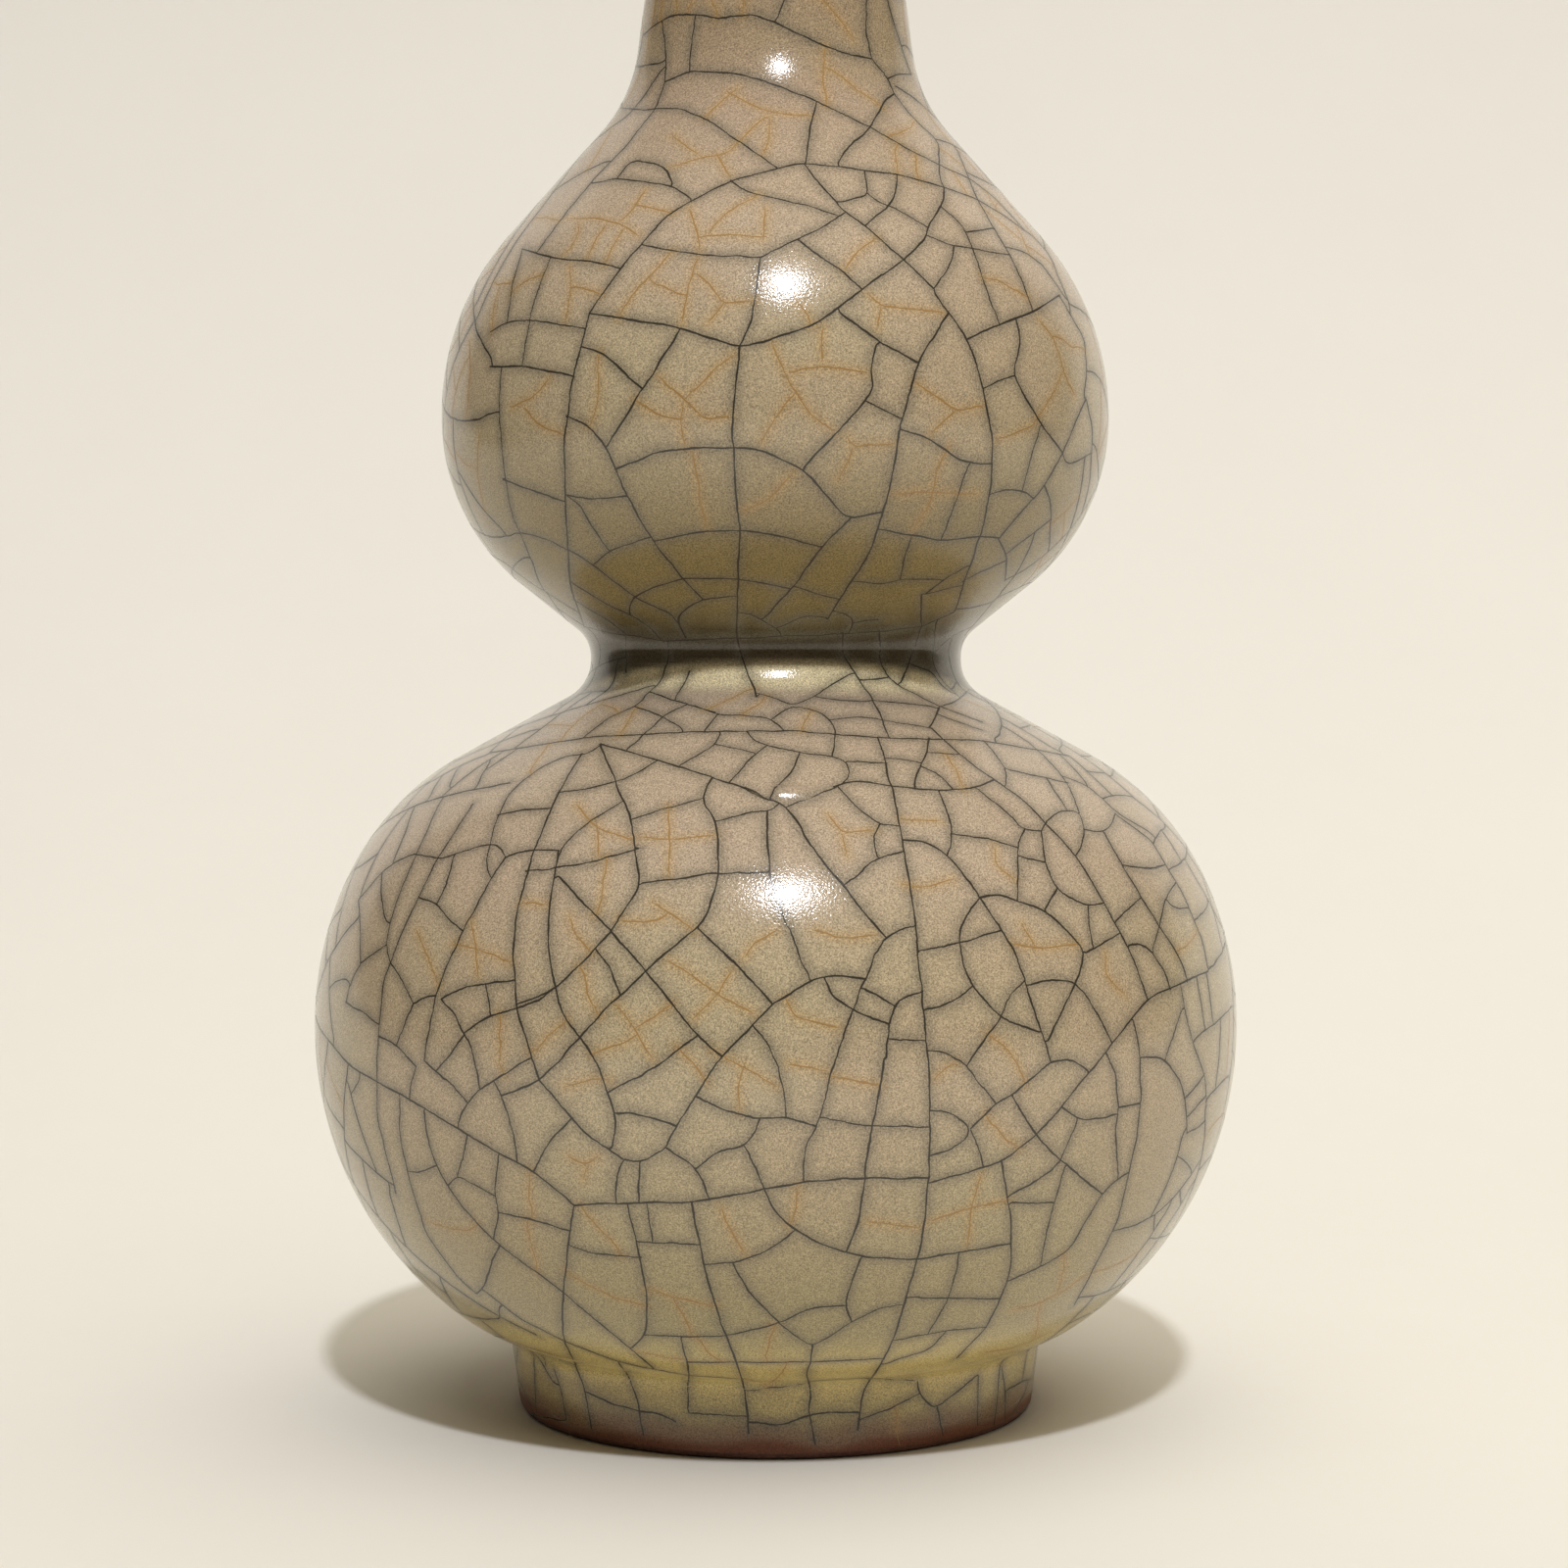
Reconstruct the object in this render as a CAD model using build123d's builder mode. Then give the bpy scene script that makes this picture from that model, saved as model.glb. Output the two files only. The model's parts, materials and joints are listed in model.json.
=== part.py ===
"""Double gourd vase of thrown stoneware, in millimetres, +Z up, standing on z = 0.

The potter throws five sections, lutes them with slip and glazes the vase inside and out.
The wall's outline is a run of arcs and straights that meet smoothly. Every layer of the wall
follows that same run at its own depth below the outer face, so the layers fit with no gap.
"""
import os
from math import radians, tan

from build123d import *

os.makedirs("parts", exist_ok=True)

# Sizes of the whole vase
belly_radius = 66.0
belly_height = 55.3
glaze = 0.7
wall = 3.6
seam = 0.5

# Outline on the outer face, as (radius, turn in degrees). A positive turn bulges outward,
# a negative one is hollow, and a turn of 0 is a straight run of that length.
bowl = [(51.9, 14.7), (49.8, 37.8)]
bowl_edge = [(24.0, 18.0)]
shoulder = [(48.9, 24.2), (39.0, 37.3), (17.2, 0), (5.8, -61.5)]
upper_bowl = [(4.8, -51.2), (10.2, 0), (30.0, 51.2)]
upper_shoulder = [(38.2, 41.8), (18.9, 0)]
neck_run = [(22.0, -34.2), (12.0, 0), (16.0, -24.0)]
floor_curve = [(27.0, 37.5)]
slip = [(seam, 0)]

# Foot
foot_hollow = 2.6
foot_taper = 8.0
foot_inner_radius = 31.0
foot_edge_round = 1.0
glaze_edge_height = 3.6
glaze_edge_thickness = 0.3
base_glaze_thickness = 0.6

up = Vector(0, 1)
down = Vector(0, -1)
lip_radius = wall / 2 + glaze
inner_face = wall + 2 * glaze


def run(station, heading, pieces, depth, side=1):
    """Draw a run of the wall at a depth below the outer face. side is 1 upward, -1 downward."""
    point = station - Vector(heading.Y, -heading.X) * side * depth
    edges = []
    for size, turn in pieces:
        if turn == 0:
            edge = Line(point, point + heading * size)
        elif turn > 0:
            edge = JernArc(point, heading, size - depth, side * turn)
        else:
            edge = JernArc(point, heading, size + depth, side * turn)
        point = edge @ 1
        heading = edge % 1
        edges.append(edge)
    return edges


def lip(edge, depth):
    """Round the mouth from the end of a run to the crest of the lip."""
    if depth < lip_radius:
        return JernArc(edge @ 1, edge % 1, lip_radius - depth, 90)
    return JernArc(edge @ 1, edge % 1, depth - lip_radius, -90)


# Places where the sections meet, on the outer face
below_belly_seam = Vector(belly_radius, belly_height - seam / 2)
above_belly_seam = below_belly_seam + up * seam
below_waist_seam = run(above_belly_seam, up, shoulder, 0)[-1] @ 1
above_waist_seam = below_waist_seam + up * seam
below_upper_belly_seam = run(above_waist_seam, up, upper_bowl, 0)[-1] @ 1
above_upper_belly_seam = below_upper_belly_seam + up * seam
upper_shoulder_end = run(above_upper_belly_seam, up, upper_shoulder, 0)[-1]
below_neck_seam = upper_shoulder_end @ 1
neck_heading = upper_shoulder_end % 1
above_neck_seam = below_neck_seam + neck_heading * seam

# The whole wall above the belly, and the bowl with the hollow where it meets the foot
above_belly = slip + shoulder + slip + upper_bowl + slip + upper_shoulder + slip + neck_run
foot_turn = bowl[0][1] + bowl[1][1] + bowl_edge[0][1] - foot_taper
below_belly = bowl + bowl_edge + [(foot_hollow, -foot_turn)]

# The foot's outer face: the bowl sits on the ring at the seat, and the glaze runs on down
# the ring and thins out above the bare edge
foot_top = run(below_belly_seam, down, below_belly, 0, -1)[-1] @ 1
seat = run(below_belly_seam, down, below_belly, glaze, -1)[-1] @ 1
glaze_edge = Vector(foot_top.X - (foot_top.Y - glaze_edge_height) * tan(radians(foot_taper)), glaze_edge_height)
bare_edge = glaze_edge - Vector(glaze_edge_thickness, 0)
ring_slope = (seat.X - bare_edge.X) / (seat.Y - bare_edge.Y)
ring_top_height = seat.Y - seam
ring_top = Vector(seat.X - seam * ring_slope, ring_top_height)
ring_foot = Vector(seat.X - seat.Y * ring_slope, 0)

# Foot ring, turned on its own and luted under the bowl; its lower edge stays bare
with BuildPart() as foot_ring:
    with BuildSketch(Plane.XZ) as outline:
        with BuildLine():
            Polyline(
                (foot_inner_radius, 0),
                ring_foot,
                ring_top,
                (foot_inner_radius, ring_top_height),
                close=True,
            )
        make_face()
        fillet(outline.vertices().group_by(Axis.Y)[0], foot_edge_round)
    revolve(axis=Axis.Z)
foot_ring.part.label = "foot_ring"
export_step(foot_ring.part, "parts/foot_ring.step")

# Slip between the foot ring and the bowl
with BuildPart() as foot_slip_seam:
    with BuildSketch(Plane.XZ):
        with BuildLine():
            Polyline(
                (foot_inner_radius, ring_top_height),
                ring_top,
                seat,
                (foot_inner_radius, seat.Y),
                close=True,
            )
        make_face()
    revolve(axis=Axis.Z)
foot_slip_seam.part.label = "foot_slip_seam"
export_step(foot_slip_seam.part, "parts/foot_slip_seam.step")

# Lower half of the lower bulb, a bowl with a flat underside
with BuildPart() as lower_bulb_bowl:
    with BuildSketch(Plane.XZ):
        with BuildLine():
            outside = run(below_belly_seam, down, below_belly, glaze, -1)
            inside = run(below_belly_seam, down, bowl + floor_curve, glaze + wall, -1)
            floor_rim = inside[-1] @ 1
            Line(outside[0] @ 0, inside[0] @ 0)
            Polyline(seat, (0, seat.Y), (0, floor_rim.Y), floor_rim)
        make_face()
    revolve(axis=Axis.Z)
lower_bulb_bowl.part.label = "lower_bulb_bowl"
export_step(lower_bulb_bowl.part, "parts/lower_bulb_bowl.step")

# The three other sections of the two bulbs, each an open ring of wall
sections = {
    "lower_bulb_shoulder": (above_belly_seam, shoulder),
    "upper_bulb_bowl": (above_waist_seam, upper_bowl),
    "upper_bulb_shoulder": (above_upper_belly_seam, upper_shoulder),
}
for name, (station, pieces) in sections.items():
    with BuildPart() as section:
        with BuildSketch(Plane.XZ):
            with BuildLine():
                outside = run(station, up, pieces, glaze)
                inside = run(station, up, pieces, glaze + wall)
                Line(outside[0] @ 0, inside[0] @ 0)
                Line(outside[-1] @ 1, inside[-1] @ 1)
            make_face()
        revolve(axis=Axis.Z)
    section.part.label = name
    export_step(section.part, f"parts/{name}.step")

# Neck, thrown as a short tube with a rounded mouth
with BuildPart() as neck:
    with BuildSketch(Plane.XZ):
        with BuildLine():
            outside = run(above_neck_seam, neck_heading, neck_run, glaze)
            inside = run(above_neck_seam, neck_heading, neck_run, glaze + wall)
            lip(outside[-1], glaze)
            lip(inside[-1], glaze + wall)
            Line(outside[0] @ 0, inside[0] @ 0)
        make_face()
    revolve(axis=Axis.Z)
neck.part.label = "neck"
export_step(neck.part, "parts/neck.step")

# Slip between the sections, as thick as the clay wall is
slip_seams = {
    "lower_belly_slip_seam": (below_belly_seam, up),
    "waist_slip_seam": (below_waist_seam, up),
    "upper_belly_slip_seam": (below_upper_belly_seam, up),
    "neck_slip_seam": (below_neck_seam, neck_heading),
}
for name, (station, heading) in slip_seams.items():
    with BuildPart() as slip_seam:
        with BuildSketch(Plane.XZ):
            with BuildLine():
                outside = run(station, heading, slip, glaze)[0]
                inside = run(station, heading, slip, glaze + wall)[0]
                Line(outside @ 0, inside @ 0)
                Line(outside @ 1, inside @ 1)
            make_face()
        revolve(axis=Axis.Z)
    slip_seam.part.label = name
    export_step(slip_seam.part, f"parts/{name}.step")

# Outer glaze, one coat from the foot ring up to the crest of the lip
with BuildPart() as outer_glaze:
    with BuildSketch(Plane.XZ):
        with BuildLine():
            face = run(below_belly_seam, up, above_belly, 0)
            back = run(below_belly_seam, up, above_belly, glaze)
            Line(lip(face[-1], 0) @ 1, lip(back[-1], glaze) @ 1)
            run(below_belly_seam, down, below_belly, 0, -1)
            run(below_belly_seam, down, below_belly, glaze, -1)
            Polyline(foot_top, glaze_edge, bare_edge, seat)
        make_face()
    revolve(axis=Axis.Z)
outer_glaze.part.label = "outer_glaze"
export_step(outer_glaze.part, "parts/outer_glaze.step")

# Inner glaze, poured in: it covers the floor and the wall and meets the outer coat on the lip
with BuildPart() as inner_glaze:
    with BuildSketch(Plane.XZ):
        with BuildLine():
            back = run(below_belly_seam, up, above_belly, glaze + wall)
            face = run(below_belly_seam, up, above_belly, inner_face)
            Line(lip(back[-1], glaze + wall) @ 1, lip(face[-1], inner_face) @ 1)
            floor_back = run(below_belly_seam, down, bowl + floor_curve, glaze + wall, -1)[-1] @ 1
            floor_face = run(below_belly_seam, down, bowl + floor_curve, inner_face, -1)[-1] @ 1
            Polyline(floor_back, (0, floor_back.Y), (0, floor_face.Y), floor_face)
        make_face()
    revolve(axis=Axis.Z)
inner_glaze.part.label = "inner_glaze"
export_step(inner_glaze.part, "parts/inner_glaze.step")

# Base glaze, a thin disc on the bowl's underside within the foot ring
with BuildPart() as base_glaze:
    with BuildSketch(Plane.XY.offset(seat.Y - base_glaze_thickness)):
        Circle(foot_inner_radius)
    extrude(amount=base_glaze_thickness)
base_glaze.part.label = "base_glaze"
export_step(base_glaze.part, "parts/base_glaze.step")

mouth = lip(run(below_belly_seam, up, above_belly, 0)[-1], 0)
print("waist", below_waist_seam)
print("upper belly", below_upper_belly_seam)
print("neck seam", below_neck_seam)
print("seat", seat, "foot top", foot_top, "glaze edge", glaze_edge)
print("floor", floor_face, "lip start", mouth @ 0, "lip crest", mouth @ 1)
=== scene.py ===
# %% [markdown]
# # A crackled double gourd vase
#
# The vase is thrown in sections, luted with slip and dipped in a thick grey-beige glaze. While it cools the
# glaze shrinks more than the clay and cracks. The first, wide cracks are stained dark. Finer ones come later
# and stay golden brown. The clay pieces come from the CAD frame. What makes the vase is the glaze, so this
# lesson rebuilds the glaze as a fine mesh. The clearest cracks of the photograph are laid on it where they
# show, and a small fracture model draws the rest.

import json
import math
import random

import bpy
import numpy as np
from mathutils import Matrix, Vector
from mathutils.kdtree import KDTree


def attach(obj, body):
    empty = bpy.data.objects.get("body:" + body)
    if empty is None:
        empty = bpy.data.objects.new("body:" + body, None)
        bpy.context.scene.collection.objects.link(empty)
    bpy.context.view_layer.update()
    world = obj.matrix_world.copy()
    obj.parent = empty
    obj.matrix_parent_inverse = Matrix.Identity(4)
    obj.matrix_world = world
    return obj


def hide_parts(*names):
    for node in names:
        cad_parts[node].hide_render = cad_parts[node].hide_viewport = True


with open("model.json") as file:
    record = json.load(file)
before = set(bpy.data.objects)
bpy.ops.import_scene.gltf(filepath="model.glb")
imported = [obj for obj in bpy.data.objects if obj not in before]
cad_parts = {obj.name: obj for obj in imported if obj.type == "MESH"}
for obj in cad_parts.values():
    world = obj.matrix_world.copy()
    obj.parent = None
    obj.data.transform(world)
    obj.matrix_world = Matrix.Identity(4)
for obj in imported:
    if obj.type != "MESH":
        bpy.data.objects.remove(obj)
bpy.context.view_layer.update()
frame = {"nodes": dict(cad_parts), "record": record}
MM = 0.001

# %% [markdown]
# ## The wall's outline
#
# The outside of the vase is a run of arcs and straights that meet smoothly, the same run that the CAD wall
# follows. Each entry is a radius and a turn in degrees: a positive turn bulges outward, a negative one is
# hollow, and a turn of 0 is a straight of that length. Walking the run from the belly up and from the belly
# down gives one line from the foot to the lip. Everything on the glaze is placed by two numbers: the angle
# round the vase, and the distance along that line.

# %% Walk the outline
BELLY_RADIUS = 66.0
BELLY_HEIGHT = 55.05
SEAM = (0.5, 0)
SHOULDER = [(48.9, 24.2), (39.0, 37.3), (17.2, 0), (5.8, -61.5)]
UPPER_BOWL = [(4.8, -51.2), (10.2, 0), (30.0, 51.2)]
UPPER_SHOULDER = [(38.2, 41.8), (18.9, 0)]
NECK = [(22.0, -34.2), (12.0, 0), (16.0, -24.0)]
LIP = [(2.5, 90.0)]
BOWL = [(51.9, 14.7), (49.8, 37.8), (24.0, 18.0), (2.6, -62.5)]
FOOT = [(8.5, 0)]
FINE = 0.1


def walk(pieces, side):
    """Radius, height and tilt of the normal along a run from the belly, up (side 1) or down (side -1)."""
    radius, height, heading = BELLY_RADIUS, BELLY_HEIGHT, side * math.pi / 2
    points = []
    for size, turn in pieces:
        length = size if turn == 0 else size * math.radians(abs(turn))
        steps = max(2, round(length / FINE))
        half_turn = side * math.radians(turn) / steps / 2
        for _ in range(steps):
            heading += half_turn
            radius += length / steps * math.cos(heading)
            height += length / steps * math.sin(heading)
            heading += half_turn
            points.append((radius, height, heading - side * math.pi / 2))
    return points


upward = [SEAM] + SHOULDER + [SEAM] + UPPER_BOWL + [SEAM] + UPPER_SHOULDER + [SEAM] + NECK + LIP
outline = np.array(walk(BOWL + FOOT, -1)[::-1] + [(BELLY_RADIUS, BELLY_HEIGHT, 0.0)] + walk(upward, 1))
run_length = np.concatenate([[0], np.cumsum(np.hypot(*np.diff(outline[:, :2], axis=0).T))])
HIGH = run_length[-1]
even = np.arange(0, HIGH, FINE)
wall_radius, wall_height, wall_tilt = (np.interp(even, run_length, column) for column in outline.T)
wall_slope = np.gradient(wall_radius, FINE)
print(f"outline {HIGH:.1f} mm long, top at {wall_height.max():.1f} mm")

# %% [markdown]
# ## From angle and distance to a place
#
# One function turns the two numbers into a point in metres, for whole arrays at once. A hand-thrown wall is
# never quite round, so the function also adds a slow unevenness of up to a fifth of a millimetre. In front,
# molten glaze ran down from the upper bulb and pooled in the waist, so the coat is thinner under that bulb
# and thicker in the waist. One pimple on the shoulder catches the light. The glaze and the cracks both use
# the function, so they stay together.

# %% Place points on the glaze
OVAL = 0.12
LOBED = 0.07
END_FADE = 12
POOL = 1.5
DRAINED = 0.6
DRAINED_HEIGHT = 124.0
DRAINED_TALL = 10.0
PIMPLE = 0.75
PIMPLE_ANGLE = 0.03
PIMPLE_HEIGHT = 90.5
PIMPLE_WIDE = 4.5
PIMPLE_TALL = 0.6


def ease(x, low, high):
    """0 below low, 1 above high, smooth between."""
    t = np.clip((x - low) / (high - low), 0, 1)
    return t * t * (3 - 2 * t)


def unevenness(angle, along):
    """How far the thrown wall stands out, in mm."""
    height = np.interp(along, even, wall_height)
    lobes = OVAL * np.sin(2 * angle + 0.6 + along * 0.013) + LOBED * np.sin(3 * angle - along * 0.03)
    lobes = lobes * np.clip(along / END_FADE, 0, 1) * np.clip((HIGH - along) / END_FADE, 0, 1)
    pool = POOL * ease(height, 90, 100) * (1 - ease(height, 105.2, 109.4))
    drained = DRAINED * np.exp(-(((height - DRAINED_HEIGHT) / DRAINED_TALL) ** 2))
    across = np.interp(along, even, wall_radius) * (angle - PIMPLE_ANGLE) / PIMPLE_WIDE
    pimple = PIMPLE * np.exp(-(across**2) - ((height - PIMPLE_HEIGHT) / PIMPLE_TALL) ** 2)
    return lobes + (pool - drained) * np.clip(np.cos(angle), 0, 1) ** 1.5 + pimple


def surface(angle, along, lift=0.0):
    """Places on the glaze in metres, an array of them, lift mm above its face."""
    radius = np.interp(along, even, wall_radius)
    height = np.interp(along, even, wall_height)
    tilt = np.interp(along, even, wall_tilt)
    out = lift + unevenness(angle, along)
    radius = radius + out * np.cos(tilt)
    height = height + out * np.sin(tilt)
    return np.stack([radius * np.sin(angle), -radius * np.cos(angle), height], axis=-1) * MM


# %% [markdown]
# ## The photograph's view
#
# The camera stands half a metre away, a little above the waist, and looks down by less than three degrees.
# Its values come before the cracks, because the main cracks are placed by pixels of the photograph: a line of
# sight goes from the camera through the pixel to the first place where it meets the wall.

# %% Look along a pixel
PHOTO_SIZE = 1600
FOCAL_PIXELS = 3552
CAMERA_PLACE = (1.2, -500.0, 113.5)
CAMERA_DIP = math.radians(2.77)
SIGHT_FROM = 420.0
SIGHT_TO = 540.0
LEAST_LEAN = 0.2


def from_photo(pixels):
    """Angle round the vase and distance along its outline of the glaze at pixels of the photograph."""
    found = []
    reach = np.arange(SIGHT_FROM, SIGHT_TO, FINE)
    for x, y in pixels:
        across, up = (x - PHOTO_SIZE / 2) / FOCAL_PIXELS, (PHOTO_SIZE / 2 - y) / FOCAL_PIXELS
        forward = math.cos(CAMERA_DIP) + up * math.sin(CAMERA_DIP)
        upward = up * math.cos(CAMERA_DIP) - math.sin(CAMERA_DIP)
        sight = np.array(CAMERA_PLACE) + reach[:, None] * np.array([across, forward, upward])
        along = np.interp(sight[:, 2], wall_height, even)
        angle = np.arctan2(sight[:, 0], -sight[:, 1])
        tilt = np.interp(along, even, wall_tilt)
        out = unevenness(angle, along)
        reached = np.interp(along, even, wall_radius) + out / np.maximum(np.cos(tilt), LEAST_LEAN)
        inside = np.hypot(sight[:, 0], sight[:, 1]) < reached
        if inside.any():
            k = np.argmax(inside)
            rise = out[k] * math.sin(tilt[k])
            found.append((float(angle[k]), float(np.interp(sight[k, 2] - rise, wall_height, even))))
    return found


# %% [markdown]
# ## How a crack grows
#
# A crack runs nearly straight across a curved glaze, as a taut thread would lie, with a slow bend of its own.
# Close to an older crack the stress is released along that crack, so the new one turns to meet it square on
# and stops there. That gives the T-shaped joints and small hooks of real crackle. To find what is near, the
# points of finished cracks are kept in small boxes.

# %% Grow one crack
STEP = 0.5
REACH = 0.4
PULL = 2.4
STRAY = 0.002
WIDEST_SWING = 1.25
TURN_SHARE = 0.45
dice = random.Random(11)
radius_list = wall_radius.tolist()
height_list = wall_height.tolist()
slope_list = wall_slope.tolist()
cracks = []
boxes = {}
photo_count = 0


def level_of(along):
    """Index into the lists of the wall for a distance along the outline."""
    return min(max(int(along / FINE), 0), len(radius_list) - 1)


def box_of(angle, along):
    """The point in mm, and the box of side PULL that it lies in."""
    k = level_of(along)
    x, y, z = radius_list[k] * math.sin(angle), -radius_list[k] * math.cos(angle), height_list[k]
    return (x, y, z), (int(x // PULL), int(y // PULL), int(z // PULL))


def remember(path, number):
    """Keep a finished crack's points, with its heading, in their own box and the boxes around it."""
    for (angle, along), (before, below), (after, above) in zip(path, path[:1] + path, path[1:] + path[-1:]):
        point, (i, j, k) = box_of(angle, along)
        heading = math.atan2((after - before) * radius_list[level_of(along)], above - below)
        for box in [(i + a, j + b, k + c) for a in (-1, 0, 1) for b in (-1, 0, 1) for c in (-1, 0, 1)]:
            boxes.setdefault(box, []).append(point + (number, angle, along, heading))


def nearest(angle, along, passed=()):
    """The nearest older crack point within PULL: gap, angle, distance along, number and heading, or None."""
    (x, y, z), box = box_of(angle, along)
    best = None
    least = PULL**2
    for px, py, pz, number, a, s, heading in boxes.get(box, ()):
        gap = (px - x) ** 2 + (py - y) ** 2 + (pz - z) ** 2
        if gap < least and number not in passed:
            least = gap
            best = (math.sqrt(gap), a + round((angle - a) / math.tau) * math.tau, s, number, heading)
    return best


def touches(angle, along, passed):
    """Whether a point lies on an older crack."""
    near = nearest(angle, along, passed)
    return near is not None and near[0] < REACH


def grow(angle, along, heading, bend, limit, crossing, own=()):
    """Run a crack from a point until it meets another, leaves the glaze or has gone far enough."""
    path = []
    passed = set(own)
    for _ in range(int(limit / STEP)):
        k = level_of(along)
        heading += (bend - slope_list[k] * math.sin(heading) / radius_list[k]) * STEP
        bend += dice.gauss(0, STRAY)
        along += STEP * math.cos(heading)
        angle += STEP * math.sin(heading) / radius_list[k]
        if not 0 < along < HIGH:
            break
        path.append((angle, along))
        near = nearest(angle, along, passed)
        if near is None:
            continue
        gap, other_angle, other_along, number, _ = near
        if gap < REACH:
            if number < photo_count or dice.random() >= crossing:
                path.append((other_angle, other_along))
                break
            passed.add(number)
            continue
        bearing = math.atan2((other_angle - angle) * radius_list[k], other_along - along)
        swing = (bearing - heading + math.pi) % math.tau - math.pi
        if abs(swing) < WIDEST_SWING:
            heading += TURN_SHARE * swing * (1 - gap / PULL)
    return path


def grow_both_ways(angle, along, heading, bend, limit, crossing):
    """A crack that grows from a point in both directions."""
    one_way = grow(angle, along, heading + math.pi, -bend, limit, crossing)
    other_way = grow(angle, along, heading, bend, limit, crossing)
    return one_way[::-1] + [(angle, along)] + other_way


# %% [markdown]
# ## Room between the cracks
#
# A cloud of test points lies all over the glaze, and each knows how far off the nearest crack is. The one
# that is furthest from any crack marks the middle of the largest cell. From there, a look round in 24
# directions gives the cell's shape: its shortest and its longest way across.

# %% Measure the room
TESTS = 16000
SIGHT = 15.0
SECTORS = 24
MOST_MARKS = 120000
area = np.cumsum(wall_radius)
area /= area[-1]
test_angle = np.array([dice.uniform(-math.pi, math.pi) for _ in range(TESTS)])
test_along = np.interp([dice.random() for _ in range(TESTS)], area, even)
test_place = surface(test_angle, test_along) / MM
clearance = np.full(TESTS, 30.0)
marks = np.zeros((MOST_MARKS, 5))
JOG = 0.055


def marked():
    """How many crack points are stored."""
    return sum(len(path) for path, _ in cracks)


def jogged(path, size):
    """A path with the small sideways jogs that the grain of the glaze gives a crack, none at its ends."""
    path = np.array(path)
    count = len(path)
    loose = np.random.default_rng(len(cracks)).normal(size=count + 4)
    jog = size * np.convolve(loose, np.ones(5), mode="valid") / math.sqrt(5)
    jog *= np.clip(np.minimum(np.arange(count), np.arange(count)[::-1]) / 4, 0, 1)
    radius = np.interp(path[:, 1], even, wall_radius)
    round_mm, up_mm = np.gradient(path[:, 0]) * radius, np.gradient(path[:, 1])
    length = np.hypot(round_mm, up_mm) + 1e-9
    return path + np.stack([-up_mm / length * jog / radius, round_mm / length * jog], axis=1)


def keep(path, strength, jog=JOG):
    """Store a finished crack and bring each test point's distance to the nearest crack up to date."""
    path = jogged(path, jog)
    remember(path.tolist(), len(cracks))
    places = surface(*path.T) / MM
    first = marked()
    marks[first : first + len(path)] = np.hstack([places, path])
    cracks.append((path, strength))
    close = np.all((test_place > places.min(0) - SIGHT) & (test_place < places.max(0) + SIGHT), axis=1)
    for i in range(0, len(places), 40):
        gaps = np.linalg.norm(test_place[close, None] - places[None, i : i + 40], axis=2).min(1)
        clearance[close] = np.minimum(clearance[close], gaps)


def look_round(angle, along):
    """How far off the nearest crack is in each sector round a point, up to SIGHT."""
    place = surface(np.array(angle), np.array(along)) / MM
    seen = marks[: marked()]
    seen = seen[np.abs(seen[:, :3] - place).max(1) < SIGHT]
    round_mm = ((seen[:, 3] - angle + math.pi) % math.tau - math.pi) * np.interp(along, even, wall_radius)
    up_mm = seen[:, 4] - along
    sector = np.floor(np.arctan2(round_mm, up_mm) / math.tau * SECTORS).astype(int) % SECTORS
    reach = np.full(SECTORS, SIGHT)
    np.minimum.at(reach, sector, np.hypot(round_mm, up_mm))
    return reach
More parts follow.
